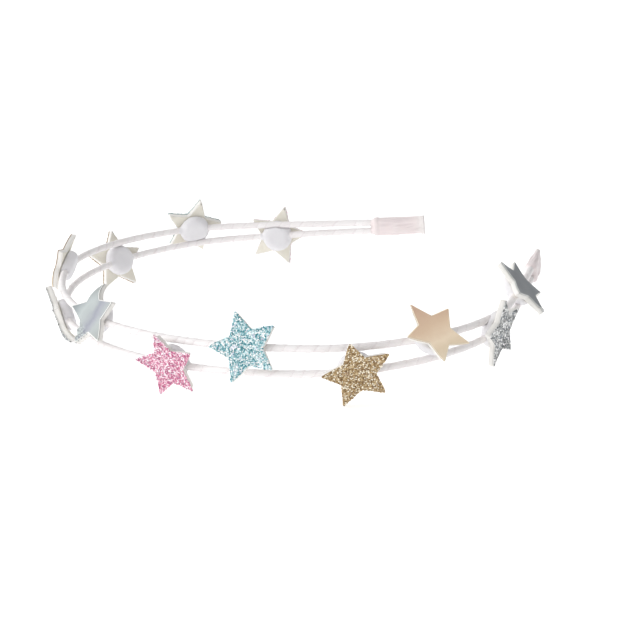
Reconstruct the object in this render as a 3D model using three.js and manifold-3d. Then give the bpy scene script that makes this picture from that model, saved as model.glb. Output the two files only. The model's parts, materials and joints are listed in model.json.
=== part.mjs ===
// Star headband: two ribbon-wound wires bent into an open hoop, with felt-backed stars fixed along them.
// Millimetres, +Z up. The hoop lies on its lower star points: crown toward -Y, open ends toward +Y.

import * as THREE from 'three';
import { mergeVertices } from 'three/addons/utils/BufferGeometryUtils.js';
import Module from 'manifold-3d';

// The hoop's plan on each side of the crown's middle. The right side is a little shorter and opens wider.
const CROWN = { length: 64.5, radius: 95 };
const SHOULDER = { length: 69, radius: 43 };
const LEFT_SIDE = { length: 32.5, radius: 440 };
const LEFT_END = { length: 24, radius: Infinity };
const RIGHT_SIDE = { length: 32.5, radius: 880 };
const RIGHT_END = { length: 17.5, radius: Infinity };
const LEFT_HALF = [CROWN, SHOULDER, LEFT_SIDE, LEFT_END];
const RIGHT_HALF = [CROWN, SHOULDER, RIGHT_SIDE, RIGHT_END];
const lengthOf = (half) => half.reduce((sum, span) => sum + span.length, 0);
const LEFT_LENGTH = lengthOf(LEFT_HALF);
const RIGHT_LENGTH = lengthOf(RIGHT_HALF);

// The wound wires. Their spread is measured between centres and eases from the crown's to the ends'.
const WIRE_RADIUS = 0.95;
const WIRE_SIDES = 8;
const WIRE_STEPS = 76;
const WIRE_END_INSET = 9;
const HOOP_HEIGHT = 10.8;
const CROWN_SPREAD = 6.7;
const END_SPREAD = 2.4;
const SPREAD_EASES_FROM = 46;
const SPREAD_EASES_SHORT_OF_END = 2;

// The ribbon wrap on each end. It grows taller toward the tip, and past the wires' ends it is pressed flat.
const WRAP = { length: 16.3, corner: 1.2, wall: 0.4, tipWall: 1, steps: 2 };
const WRAP_HEIGHT = { mouth: 5.4, tip: 5.8 };
const WRAP_DEPTH = { mouth: 3.4, tip: 1.6, pressedFrom: 0.5 };
const CORNER_SEGMENTS = 3;

// One star: two layers with blunt tips. Small gaps keep the layers apart and the felt off the wires.
const STAR_TIP_RADIUS = 9.4;
const STAR_NOTCH_RADIUS = 4.75;
const STAR_TIPS = 5;
const TIP_HALF_WIDTH = 0.25;
const ARM_ROWS = 4;
const FELT_THICKNESS = 1;
const FACE_THICKNESS = 0.4;
const LAYER_GAP = 0.1;
const WIRE_GAP = 0.25;
const CLEARANCE_STEP = 0.5;

// The back disc: a soft round pad with a rounded rim, grooved for the wires that pass through it.
const DISC_RADIUS = 4.7;
const DISC_RIM = 1.2;
const DISC_COVER = 0.8;
const DISC_SEGMENTS = 16;
const DISC_ROUND_STEPS = 3;
const DISC_GAP = 0.3;
const GROOVE_GAP = 0.3;
const GROOVE_REACH = 8;
const GROOVE_STEPS = 6;

// Each star from the left end to the right, on the lower and the upper wire in turn.
// along: place on the hoop from the crown, right positive. foot: height of its lowest tip over the surface.
// spin: turn in its own plane. lean: top outward. turn: face toward the right end. All three in degrees.
// curls: how far each tip is bent outward, from the top one clockwise.
const STARS = [
  { along: -144.5, foot: 0, spin: -18, lean: 9, turn: 5, curls: [0.3, 0.5, 0.2, 0.2, 0.4] },
  { along: -119.5, foot: 5.1, spin: -17, lean: -19, turn: 6, curls: [0.4, 0.6, 0.3, 0.3, 0.2] },
  { along: -94, foot: 0, spin: -5, lean: 15, turn: -7, curls: [0.3, 0.3, 0.2, 0.2, 0.5] },
  { along: -62, foot: 7, spin: -21, lean: -24, turn: -4, curls: [-0.4, 0.3, -1.5, -1.5, 0.3] },
  { along: -34, foot: 0, spin: -12, lean: 11, turn: -3, curls: [0.2, 0.2, -1.8, -1.8, 0.2] },
  { along: -2, foot: 8.1, spin: -13, lean: -27, turn: 6, curls: [-2.6, 0.3, 0.4, 0, 0.4] },
  { along: 29, foot: 0, spin: -10, lean: 10, turn: 7, curls: [0.3, 0.2, 0.3, 0.2, 0.4] },
  { along: 52, foot: 6.7, spin: -17, lean: -22, turn: 8, curls: [0.2, 0.4, 0.2, 0.3, 0.3] },
  { along: 78.5, foot: 0, spin: -12, lean: 14, turn: 11, curls: [0.3, 0.3, 0.2, 0.2, 0.4] },
  { along: 97.8, foot: 8.9, spin: -12, lean: -46, turn: 15, curls: [0.2, 0.2, 0.3, 0.2, 0.2] },
  { along: 119.5, foot: 1.5, spin: -8, lean: 11, turn: 6, curls: [0.2, 0.3, 0.2, 0.3, 0.2] },
  { along: 144.5, foot: 7, spin: -17, lean: -38, turn: 2, curls: [0.3, 0.2, -0.6, 0.2, 0.3] },
];
const UPPER = 1;
const LOWER = -1;

// The stars' faces repeat in this order.
const FACE_CYCLE = ['pinkGlitter', 'aquaGlitter', 'goldGlitter', 'gold', 'silverGlitter', 'silver'];

const FINISHES = {
  ribbon: { color: 0xece3e4, roughness: 0.45, metalness: 0 },
  wrap: { color: 0xf0d9dc, roughness: 0.4, metalness: 0 },
  felt: { color: 0xe9e5d6, roughness: 0.95, metalness: 0 },
  disc: { color: 0xe4e2e9, roughness: 0.8, metalness: 0 },
  pinkGlitter: { color: 0xe38bab, roughness: 0.4, metalness: 0.5 },
  aquaGlitter: { color: 0x8fcfd2, roughness: 0.4, metalness: 0.5 },
  goldGlitter: { color: 0xb38f5c, roughness: 0.4, metalness: 0.6 },
  silverGlitter: { color: 0x97999d, roughness: 0.4, metalness: 0.6 },
  gold: { color: 0xd3b48c, roughness: 0.35, metalness: 0.8 },
  silver: { color: 0xa4abb0, roughness: 0.35, metalness: 0.8 },
};

const wasm = await Module();
wasm.setup();

const headband = new THREE.Group();

function addMesh(parent, name, geometry, finish) {
  const mesh = new THREE.Mesh(geometry, new THREE.MeshStandardMaterial(FINISHES[finish]));
  mesh.name = name;
  parent.add(mesh);
  return mesh;
}

// A closed solid for cutting, from a geometry's positions alone.
function solidOf(geometry) {
  const bare = geometry.clone();
  bare.deleteAttribute('normal');
  bare.deleteAttribute('uv');
  const merged = mergeVertices(bare);
  const vertProperties = new Float32Array(merged.attributes.position.array);
  const triVerts = new Uint32Array(merged.index.array);
  return new wasm.Manifold(new wasm.Mesh({ numProp: 3, vertProperties, triVerts }));
}

function geometryOf(solid) {
  const mesh = solid.getMesh();
  const geometry = new THREE.BufferGeometry();
  geometry.setAttribute('position', new THREE.BufferAttribute(mesh.vertProperties, 3));
  geometry.setIndex(new THREE.BufferAttribute(mesh.triVerts, 1));
  geometry.computeVertexNormals();
  return geometry;
}

// The hoop's middle line in plan at a distance from the crown, with its heading in radians.
function planAt(along) {
  const side = Math.sign(along);
  let left = Math.abs(along);
  let heading = 0;
  let x = 0;
  let y = 0;
  for (const span of along < 0 ? LEFT_HALF : RIGHT_HALF) {
    const part = Math.min(left, span.length);
    const bend = part / span.radius;
    const chord = bend > 0 ? 2 * span.radius * Math.sin(bend / 2) : part;
    x += chord * Math.cos(heading + bend / 2);
    y += chord * Math.sin(heading + bend / 2);
    heading += bend;
    left -= part;
  }
  return { x: side * x, y, heading: side * heading };
}

function spreadAt(along) {
  const to = (along < 0 ? LEFT_LENGTH : RIGHT_LENGTH) - SPREAD_EASES_SHORT_OF_END;
  const eased = THREE.MathUtils.smoothstep(Math.abs(along), SPREAD_EASES_FROM, to);
  return THREE.MathUtils.lerp(CROWN_SPREAD, END_SPREAD, eased);
}

function wirePoint(wire, along) {
  const plan = planAt(along);
  return new THREE.Vector3(plan.x, plan.y, HOOP_HEIGHT + (wire * spreadAt(along)) / 2);
}

// A stretch of one wire as a curve.
class WireCurve extends THREE.Curve {
  constructor(wire, from, to) {
    super();
    this.wire = wire;
    this.from = from;
    this.to = to;
  }

  getPoint(share, target = new THREE.Vector3()) {
    return target.copy(wirePoint(this.wire, THREE.MathUtils.lerp(this.from, this.to, share)));
  }
}

function roundShape(radius) {
  const corners = [];
  for (let i = 0; i < WIRE_SIDES; i += 1) {
    const angle = (i / WIRE_SIDES) * 2 * Math.PI;
    corners.push(new THREE.Vector2(radius * Math.cos(angle), radius * Math.sin(angle)));
  }
  return new THREE.Shape(corners);
}

function tube(curve, radius, steps) {
  return new THREE.ExtrudeGeometry(roundShape(radius), { steps, extrudePath: curve, bevelEnabled: false });
}

function addWire(name, wire) {
  const path = new WireCurve(wire, WIRE_END_INSET - LEFT_LENGTH, RIGHT_LENGTH - WIRE_END_INSET);
  addMesh(headband, name, tube(path, WIRE_RADIUS, WIRE_STEPS), 'ribbon');
}

// A rounded rectangle centred on the origin.
function roundedShape(width, height, corner) {
  const x = width / 2;
  const y = height / 2;
  const shape = new THREE.Shape();
  shape.moveTo(-x + corner, -y);
  shape.lineTo(x - corner, -y);
  shape.absarc(x - corner, -y + corner, corner, -Math.PI / 2, 0);
  shape.lineTo(x, y - corner);
  shape.absarc(x - corner, y - corner, corner, 0, Math.PI / 2);
  shape.lineTo(-x + corner, y);
  shape.absarc(-x + corner, y - corner, corner, Math.PI / 2, Math.PI);
  shape.lineTo(-x, -y + corner);
  shape.absarc(-x + corner, -y + corner, corner, Math.PI, 1.5 * Math.PI);
  return shape;
}

function wrapBlock(depth, height, corner) {
  const { length, steps } = WRAP;
  const settings = { depth: length, steps, bevelEnabled: false, curveSegments: CORNER_SEGMENTS };
  return new THREE.ExtrudeGeometry(roundedShape(depth, height, corner), settings);
}

// The ribbon wrap runs along its own Z from the mouth to the shut tip.
function wrapGeometry() {
  const inner = WRAP.wall * 2;
  const { lerp } = THREE.MathUtils;
  const outside = wrapBlock(WRAP_DEPTH.mouth, WRAP_HEIGHT.mouth, WRAP.corner);
  const inside = wrapBlock(WRAP_DEPTH.mouth - inner, WRAP_HEIGHT.mouth - inner, WRAP.corner - WRAP.wall);
  inside.translate(0, 0, -WRAP.tipWall);
  const geometry = geometryOf(solidOf(outside).subtract(solidOf(inside)));
  const position = geometry.attributes.position;
  for (let i = 0; i < position.count; i += 1) {
    const share = position.getZ(i) / WRAP.length;
    const pressed = Math.max(0, (share - WRAP_DEPTH.pressedFrom) / (1 - WRAP_DEPTH.pressedFrom));
    position.setX(i, position.getX(i) * lerp(1, WRAP_DEPTH.tip / WRAP_DEPTH.mouth, pressed));
    position.setY(i, position.getY(i) * lerp(1, WRAP_HEIGHT.tip / WRAP_HEIGHT.mouth, share));
  }
  return geometry;
}

function addWrap(name, side) {
  const reach = side < 0 ? LEFT_LENGTH : RIGHT_LENGTH;
  const plan = planAt(side * (reach - WRAP.length));
  const outward = new THREE.Vector3(side * Math.cos(plan.heading), side * Math.sin(plan.heading), 0);
  const up = new THREE.Vector3(0, 0, 1);
  const across = new THREE.Vector3().crossVectors(up, outward);
  const mesh = addMesh(headband, name, wrapGeometry(), 'wrap');
  mesh.quaternion.setFromRotationMatrix(new THREE.Matrix4().makeBasis(across, up, outward));
  mesh.position.set(plan.x, plan.y, HOOP_HEIGHT);
}

// A star's outline in its own plane, as its arms: each row is one cut across an arm, from root to blunt tip.
const HALF_TURN = Math.PI / STAR_TIPS;
const ARM_ROOT = STAR_NOTCH_RADIUS * Math.cos(HALF_TURN);
const ROOT_HALF_WIDTH = STAR_NOTCH_RADIUS * Math.sin(HALF_TURN);
const ARM_LENGTH = (STAR_TIP_RADIUS - ARM_ROOT) * (1 - TIP_HALF_WIDTH / ROOT_HALF_WIDTH);

// One corner of an arm. The curl grows with the square of the distance past the arm's root.
function armCorner(tip, row, hand, curl, height) {
  const share = row / ARM_ROWS;
  const reach = ARM_ROOT + ARM_LENGTH * share;
  const half = hand * THREE.MathUtils.lerp(ROOT_HALF_WIDTH, TIP_HALF_WIDTH, share);
  const angle = Math.PI / 2 - tip * 2 * HALF_TURN;
  const x = reach * Math.cos(angle) + half * Math.sin(angle);
  const y = reach * Math.sin(angle) - half * Math.cos(angle);
  return new THREE.Vector3(x, y, height + curl * share * share);
}

// One layer of a star between two heights: a middle pentagon and five arms, top, bottom and edge.
function starLayer(curls, bottom, top) {
  const triangles = [];
  const quad = (a, b, c, d) => triangles.push(a, b, c, a, c, d);
  const middleLow = new THREE.Vector3(0, 0, bottom);
  const middleHigh = new THREE.Vector3(0, 0, top);
  for (let tip = 0; tip < STAR_TIPS; tip += 1) {
    const at = (row, hand, height) => armCorner(tip, row, hand, curls[tip], height);
    triangles.push(middleHigh, at(0, 1, top), at(0, -1, top));
    triangles.push(middleLow, at(0, -1, bottom), at(0, 1, bottom));
    for (let row = 0; row < ARM_ROWS; row += 1) {
      const next = row + 1;
      quad(at(row, 1, top), at(next, 1, top), at(next, -1, top), at(row, -1, top));
      quad(at(row, -1, bottom), at(next, -1, bottom), at(next, 1, bottom), at(row, 1, bottom));
      quad(at(row, 1, bottom), at(next, 1, bottom), at(next, 1, top), at(row, 1, top));
      quad(at(next, -1, bottom), at(row, -1, bottom), at(row, -1, top), at(next, -1, top));
    }
    const end = ARM_ROWS;
    quad(at(end, 1, bottom), at(end, -1, bottom), at(end, -1, top), at(end, 1, top));
  }
  const geometry = mergeVertices(new THREE.BufferGeometry().setFromPoints(triangles));
  geometry.computeVertexNormals();
  return geometry;
}

// Distance from a star's middle to its edge in a direction of its own plane.
function edgeRadius(angle) {
  const fromTip = Math.abs(THREE.MathUtils.euclideanModulo(angle + HALF_TURN, 2 * HALF_TURN) - HALF_TURN);
  const area = STAR_TIP_RADIUS * STAR_NOTCH_RADIUS * Math.sin(HALF_TURN);
  return area / (STAR_TIP_RADIUS * Math.sin(fromTip) + STAR_NOTCH_RADIUS * Math.sin(HALF_TURN - fromTip));
}

// The axes of a star's plane: x along the wire, y up and z outward, after its turn and lean.
function starAxes(heading, star) {
  const axes = new THREE.Euler(0, 0, 0, 'ZYX');
  const upright = new THREE.Quaternion().setFromEuler(axes.set(Math.PI / 2, 0, heading));
  const turned = new THREE.Quaternion().setFromEuler(axes.set(0, THREE.MathUtils.degToRad(star.turn), 0));
  const leant = new THREE.Quaternion().setFromEuler(axes.set(THREE.MathUtils.degToRad(star.lean), 0, 0));
  return upright.multiply(turned).multiply(leant);
}

// Stands the star on its foot, then moves it outward until its felt clears both wires.
function placeStar(group, star) {
  const plan = planAt(star.along);
  const outward = new THREE.Vector3(Math.sin(plan.heading), -Math.cos(plan.heading), 0);
  const normal = new THREE.Vector3(0, 0, 1).applyQuaternion(group.quaternion);
  group.position.set(plan.x, plan.y, 0);
  group.updateMatrixWorld(true);
  const lowest = new THREE.Box3().setFromObject(group, true).min.z;
  group.position.z = star.foot - lowest;
  group.updateMatrixWorld(true);
  let stand = 0;
  for (const wire of [UPPER, LOWER]) {
    for (let step = -STAR_TIP_RADIUS; step <= STAR_TIP_RADIUS; step += CLEARANCE_STEP) {
      const local = group.worldToLocal(wirePoint(wire, star.along + step));
      const angle = Math.PI / 2 - Math.atan2(local.y, local.x) - THREE.MathUtils.degToRad(star.spin);
      const inside = Math.hypot(local.x, local.y) < edgeRadius(angle) + WIRE_RADIUS;
      stand = inside ? Math.max(stand, local.z + WIRE_RADIUS + WIRE_GAP) : stand;
    }
  }
  group.position.addScaledVector(outward, stand / outward.dot(normal));
  group.updateMatrixWorld(true);
}

// The back disc, on the inner side of the felt, deep enough to cover its wire and grooved for both wires.
function discGeometry(group, star, ownWire) {
  const cover = WIRE_RADIUS + DISC_COVER - group.worldToLocal(wirePoint(ownWire, star.along)).z;
  const round = cover - DISC_RIM;
  const profile = [new THREE.Vector2(0, DISC_GAP), new THREE.Vector2(DISC_RADIUS, DISC_GAP)];
  for (let i = 0; i <= DISC_ROUND_STEPS; i += 1) {
    const angle = (i / DISC_ROUND_STEPS) * (Math.PI / 2);
    const radius = DISC_RADIUS - round * (1 - Math.cos(angle));
    profile.push(new THREE.Vector2(radius, DISC_RIM + round * Math.sin(angle)));
  }
  profile.push(new THREE.Vector2(0, cover));
  const disc = new THREE.LatheGeometry(profile, DISC_SEGMENTS);
  disc.rotateX(-Math.PI / 2);
  let solid = solidOf(disc);
  const toStar = group.matrixWorld.clone().invert();
  for (const wire of [UPPER, LOWER]) {
    const stretch = new WireCurve(wire, star.along - GROOVE_REACH, star.along + GROOVE_REACH);
    const groove = tube(stretch, WIRE_RADIUS + GROOVE_GAP, GROOVE_STEPS).applyMatrix4(toStar);
    solid = solid.subtract(solidOf(groove));
  }
  const pieces = solid.decompose();
  pieces.sort((a, b) => b.volume() - a.volume());
  return geometryOf(pieces[0]);
}

function addStar(star, index) {
  const number = String(index + 1).padStart(2, '0');
  const group = new THREE.Group();
  group.quaternion.copy(starAxes(planAt(star.along).heading, star));
  const layers = new THREE.Group();
  layers.rotation.z = -THREE.MathUtils.degToRad(star.spin);
  group.add(layers);
  const faceBottom = FELT_THICKNESS + LAYER_GAP;
  addMesh(layers, `star_felt_${number}`, starLayer(star.curls, 0, FELT_THICKNESS), 'felt');
  const face = starLayer(star.curls, faceBottom, faceBottom + FACE_THICKNESS);
  addMesh(layers, `star_face_${number}`, face, FACE_CYCLE[index % FACE_CYCLE.length]);
  placeStar(group, star);
  const ownWire = index % 2 === 0 ? LOWER : UPPER;
  addMesh(group, `back_disc_${number}`, discGeometry(group, star, ownWire), 'disc');
  headband.add(group);
}

addWire('upper_wire', UPPER);
addWire('lower_wire', LOWER);
addWrap('end_wrap_left', -1);
addWrap('end_wrap_right', 1);
STARS.forEach(addStar);

// The origin is on the surface, under the middle of the whole headband.
headband.updateMatrixWorld(true);
const extent = new THREE.Box3().setFromObject(headband, true);
const middle = extent.getCenter(new THREE.Vector3());
headband.position.set(-middle.x, -middle.y, -extent.min.z);
headband.updateMatrixWorld(true);

export default headband;
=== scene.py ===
# %% [markdown]
# # A star headband
# The headband is two wires wound with satin ribbon, bent into an open hoop and held together at both
# ends by a ribbon wrap. Twelve felt-backed stars sit along it, each glued through to a soft round pad
# behind the wires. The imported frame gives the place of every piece, so each step below measures its own
# node and builds the finished piece in that same place.

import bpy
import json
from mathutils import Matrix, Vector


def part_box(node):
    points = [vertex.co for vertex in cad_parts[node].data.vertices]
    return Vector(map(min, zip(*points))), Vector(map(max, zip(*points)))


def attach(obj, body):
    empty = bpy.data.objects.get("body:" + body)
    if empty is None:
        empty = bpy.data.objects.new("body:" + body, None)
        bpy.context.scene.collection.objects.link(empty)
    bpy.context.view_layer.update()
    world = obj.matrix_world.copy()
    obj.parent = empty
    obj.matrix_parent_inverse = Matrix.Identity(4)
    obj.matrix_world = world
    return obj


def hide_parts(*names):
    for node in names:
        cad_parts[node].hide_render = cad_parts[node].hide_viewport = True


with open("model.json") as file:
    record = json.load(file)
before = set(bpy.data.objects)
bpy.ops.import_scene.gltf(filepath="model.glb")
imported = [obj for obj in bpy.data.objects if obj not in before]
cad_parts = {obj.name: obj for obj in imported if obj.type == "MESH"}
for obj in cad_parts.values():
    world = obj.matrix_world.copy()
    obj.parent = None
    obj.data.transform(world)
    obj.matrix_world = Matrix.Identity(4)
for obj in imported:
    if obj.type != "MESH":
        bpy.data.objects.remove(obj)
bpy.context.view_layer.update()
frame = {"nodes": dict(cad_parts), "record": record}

# %% [markdown]
# ## Nodes and colours
# Node trees, for shapes and for materials alike, are built by one small function that adds a node, sets
# its options and fills or links its sockets. Colours are written as sRGB hex values, and one function
# turns them into the linear numbers that shaders use.

# %% Helpers for nodes and colours
import json
from collections import namedtuple
from math import atan2, cos, hypot, pi, radians, sin, sqrt, tau

import bmesh
import bpy
from mathutils import Matrix, Vector, noise
from mathutils.geometry import delaunay_2d_cdt

MM = 0.001
# A Mix node's colour sockets have the same names as its number sockets, so they go by number.
MIX_A, MIX_B = 6, 7


def fill_sockets(tree, node, inputs):
    """Fills a node's sockets by name or number: a node or a socket is linked, anything else is set."""
    for key, value in inputs.items():
        if isinstance(value, bpy.types.Node):
            value = next(socket for socket in value.outputs if socket.enabled)
        if isinstance(value, bpy.types.NodeSocket):
            tree.links.new(value, node.inputs[key])
        else:
            node.inputs[key].default_value = value


def add(tree, kind, inputs=None, **options):
    """Adds one node with its options and its sockets' values or links."""
    node = tree.nodes.new(kind)
    for name, value in options.items():
        setattr(node, name, value)
    fill_sockets(tree, node, inputs or {})
    return node


def linear(colour, share=1.0):
    """An sRGB hex colour as the linear colour that a shader takes, dimmed to a share of its light."""
    parts = [int(colour[i:i + 2], 16) / 255 for i in (0, 2, 4)]
    lights = [c / 12.92 if c < 0.04045 else ((c + 0.055) / 1.055) ** 2.4 for c in parts]
    return [light * share for light in lights] + [1.0]


print("middle grey 808080 as a linear colour:", [round(c, 3) for c in linear("808080")])

# %% [markdown]
# ## The camera
# The photograph looks down a little on the right front of the hoop, with a long lens and the camera
# rolled by a few degrees. The camera's place, target, lens and roll were fitted to the photograph. A
# camera looks along its own -Z with +Y up, so its matrix is built from those three directions.

# %% Camera
CAMERA_PLACE = Vector((476.422, -299.487, 163.305)) * MM
CAMERA_TARGET = Vector((31.817, -13.884, 10.8)) * MM
CAMERA_ROLL = radians(-4.882)
CAMERA_LENS = 119.865
CAMERA_CLIP = 0.01


def camera_matrix(place, target, roll):
    """The camera's matrix from where it stands, what it looks at and how far it is rolled."""
    ahead = (target - place).normalized()
    level = ahead.cross(Vector((0, 0, 1))).normalized()
    upright = level.cross(ahead)
    right = level * cos(roll) + upright * sin(roll)
    up = upright * cos(roll) - level * sin(roll)
    turn = Matrix((right, up, -ahead)).transposed().to_4x4()
    return Matrix.Translation(place) @ turn


camera_data = bpy.data.cameras.new("camera")
camera_data.lens = CAMERA_LENS
camera_data.clip_start = CAMERA_CLIP
camera = bpy.data.objects.new("camera", camera_data)
camera.matrix_world = camera_matrix(CAMERA_PLACE, CAMERA_TARGET, CAMERA_ROLL)
bpy.context.scene.collection.objects.link(camera)
bpy.context.scene.camera = camera
print("camera distance in mm:", round((CAMERA_TARGET - CAMERA_PLACE).length / MM))

# %% [markdown]
# ## Floor and light
# The photograph was taken on white under very soft light, so there is hardly a shadow. The floor is a
# white sheet lit a little from below, as on a light table. The world is a plain studio: bright on the
# camera's left, where the big lamps stand, and dim on its right. Seen directly, its walls are at least a
# pale grey, so that white ribbon stands out from them. Softboxes on the left, overhead and behind add the
# soft highlights. The Standard view transform keeps the floor white.

# %% Floor
FLOOR_HALF = 6.0
FLOOR_GLOW = 0.34
FLOOR_MOTTLE = 167.0


def new_material(name):
    """An empty material with one Principled shader, with its tree and that shader."""
    material = bpy.data.materials.new(name)
    material.use_nodes = True
    tree = material.node_tree
    tree.nodes.clear()
    shader = add(tree, "ShaderNodeBsdfPrincipled")
    add(tree, "ShaderNodeOutputMaterial", {"Surface": shader})
    return material, tree, shader


def mottled(tree, size, first, second, detail=2.0):
    """Two linear colours mixed by soft noise, in patches of about this size in mm."""
    place = add(tree, "ShaderNodeTexCoord").outputs["Object"]
    patches = add(tree, "ShaderNodeTexNoise", {"Vector": place, "Scale": 1 / size / MM, "Detail": detail})
    return add(tree, "ShaderNodeMix", {0: patches, MIX_A: first, MIX_B: second}, data_type="RGBA")


def white_sheet():
    """Matt white sheet: even and pale, with the faintest mottling."""
    material, tree, shader = new_material("matt_white_sheet")
    fill_sockets(tree, shader, {
        "Base Color": mottled(tree, FLOOR_MOTTLE, linear("fbfbfb"), linear("ffffff")),
        "Roughness": 0.9, "Specular IOR Level": 0.1,
        "Emission Color": linear("ffffff"), "Emission Strength": FLOOR_GLOW,
    })
    return material


def new_piece(name, mesh, *materials):
    """A new object at the origin that shows a mesh in the given materials."""
    piece = bpy.data.objects.new(name, mesh)
    bpy.context.scene.collection.objects.link(piece)
    for material in materials:
        mesh.materials.append(material)
    return piece


floor_corners = [(FLOOR_HALF * x, FLOOR_HALF * y, 0) for x, y in ((-1, -1), (1, -1), (1, 1), (-1, 1))]
floor_mesh = bpy.data.meshes.new("floor")
floor_mesh.from_pydata(floor_corners, [], [(0, 1, 2, 3)])
floor_sheet = new_piece("floor", floor_mesh, white_sheet())
print("floor", 2 * FLOOR_HALF, "m wide")

# %% Softboxes and world
SOFTBOXES = {
    "softbox_left": {"place": (-0.9, -1.2, 0.5), "size": 1.0, "watts": 2.6},
    "softbox_top": {"place": (0.1, -0.5, 1.5), "size": 1.4, "watts": 2.5},
    "softbox_back": {"place": (0.25, 1.05, 1.05), "size": 0.9, "watts": 3.0},
}
LAMP_SIDE = Vector((-0.55, -0.83, -0.05))
WORLD_MIDDLE = 0.72
WORLD_SLOPE = 1.05
WORLD_LEAST = 0.22
WALL_SEEN = 0.75

for name, box in SOFTBOXES.items():
    light = bpy.data.lights.new(name, "AREA")
    light.size = box["size"]
    light.energy = box["watts"]
    lamp = bpy.data.objects.new(name, light)
    lamp.location = box["place"]
    lamp.rotation_euler = (-Vector(box["place"])).to_track_quat("-Z", "Y").to_euler()
    bpy.context.scene.collection.objects.link(lamp)

world = bpy.data.worlds.new("studio")
world.use_nodes = True
sky = world.node_tree
heading = add(sky, "ShaderNodeVectorMath", {
    0: add(sky, "ShaderNodeTexCoord").outputs["Generated"], 1: LAMP_SIDE * WORLD_SLOPE,
}, operation="DOT_PRODUCT")
glow = add(sky, "ShaderNodeMath", {0: heading, 1: WORLD_MIDDLE}, operation="ADD")
lit = add(sky, "ShaderNodeMath", {0: glow, 1: WORLD_LEAST}, operation="MAXIMUM")
seen = add(sky, "ShaderNodeMath", {
    0: add(sky, "ShaderNodeLightPath").outputs["Is Camera Ray"], 1: WALL_SEEN,
}, operation="MULTIPLY")
wall = add(sky, "ShaderNodeMath", {0: lit, 1: seen}, operation="MAXIMUM")
fill_sockets(sky, sky.nodes["Background"], {"Color": linear("ffffff"), "Strength": wall})
bpy.context.scene.world = world
bpy.context.scene.view_settings.view_transform = "Standard"
print(len(SOFTBOXES), "softboxes and a plain studio world")

# %% [markdown]
# ## The wound wires
# Each wire is wound edge over edge with a narrow satin ribbon. The winding follows a rule: along the
# wire the ribbon's thickness climbs slowly over one turn, then drops at the edge of the next turn. The
# hoop's plan is a run of arcs, so a short function gives the path. Geometry Nodes sweeps a round profile
# along it, and lifts each point by how far it lies through its own turn. The tree also stores that share
# and the number of the turn, for the material to read.

# %% Path of the hoop
Span = namedtuple("Span", "length radius")
CROWN = Span(64.5, 95)
SHOULDER = Span(69, 43)
LEFT_HALF = [CROWN, SHOULDER, Span(32.5, 440), Span(24, 1e9)]
RIGHT_HALF = [CROWN, SHOULDER, Span(32.5, 880), Span(17.5, 1e9)]
LEFT_LENGTH = sum(span.length for span in LEFT_HALF)
RIGHT_LENGTH = sum(span.length for span in RIGHT_HALF)
CROWN_SPREAD = 6.7
END_SPREAD = 2.4
SPREAD_EASES_FROM = 46
SPREAD_EASES_SHORT_OF_END = 2
WIRE_END_INSET = 9
WIRE_RADIUS = 0.95
PATH_STEP = 1.0
UPPER, LOWER = 1, -1


def smooth_step(low, high, value):
    """0 below low, 1 above high, and a smooth rise between."""
    share = min(1, max(0, (value - low) / (high - low)))
    return share * share * (3 - 2 * share)


def plan_at(along):
    """The hoop's middle line in plan, in mm from the crown's middle: x, y and heading."""
    side = -1 if along < 0 else 1
    left = abs(along)
    heading = x = y = 0.0
    for span in LEFT_HALF if along < 0 else RIGHT_HALF:
        part = min(left, span.length)
        bend = part / span.radius
        chord = 2 * span.radius * sin(bend / 2)
        x += chord * cos(heading + bend / 2)
        y += chord * sin(heading + bend / 2)
        heading += bend
        left -= part
    return side * x, y, side * heading


def spread_at(along):
    """The distance between the two wires' centres, in mm."""
    end = (LEFT_LENGTH if along < 0 else RIGHT_LENGTH) - SPREAD_EASES_SHORT_OF_END
    return CROWN_SPREAD + (END_SPREAD - CROWN_SPREAD) * smooth_step(SPREAD_EASES_FROM, end, abs(along))


def wire_point(hand, along):
    """A point on the upper or the lower wire's centre line, in metres."""
    x, y, heading = plan_at(along)
    return (HOOP_SHIFT + Vector((x, y, hand * spread_at(along) / 2))) * MM


steps_left = int((LEFT_LENGTH - WIRE_END_INSET) / PATH_STEP)
steps_right = int((RIGHT_LENGTH - WIRE_END_INSET) / PATH_STEP)
alongs = [i * PATH_STEP for i in range(-steps_left, steps_right + 1)]
wire_low, wire_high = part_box("upper_wire")
HOOP_SHIFT = Vector((
    wire_low.x / MM + WIRE_RADIUS - min(plan_at(along)[0] for along in alongs),
    wire_low.y / MM + WIRE_RADIUS,
    (wire_high.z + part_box("lower_wire")[0].z) / 2 / MM,
))
print("hoop's crown in mm:", [round(v, 2) for v in HOOP_SHIFT])

# %% Start and end of a Geometry Nodes tree
def new_tree(name, **sockets):
    """An empty Geometry Nodes tree with the named inputs, and the sockets that they arrive by."""
    tree = bpy.data.node_groups.new(name, "GeometryNodeTree")
    tree.interface.new_socket("Geometry", in_out="INPUT", socket_type="NodeSocketGeometry")
    tree.interface.new_socket("Geometry", in_out="OUTPUT", socket_type="NodeSocketGeometry")
    for label, kind in sockets.items():
        tree.interface.new_socket(label, in_out="INPUT", socket_type="NodeSocket" + kind)
    return tree, add(tree, "NodeGroupInput").outputs


def finish_tree(tree, geometry, material, selection=True):
    """Ends a tree: its instances become real mesh, and what is selected gets the material."""
    real = add(tree, "GeometryNodeRealizeInstances", {"Geometry": geometry})
    dressed = add(tree, "GeometryNodeSetMaterial", {
        "Geometry": real, "Selection": selection, "Material": material,
    })
    add(tree, "NodeGroupOutput", {"Geometry": dressed})
    print(tree.name, "tree with", len(tree.nodes), "nodes")
    return tree


print("node trees for Blender", bpy.app.version_string)

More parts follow.
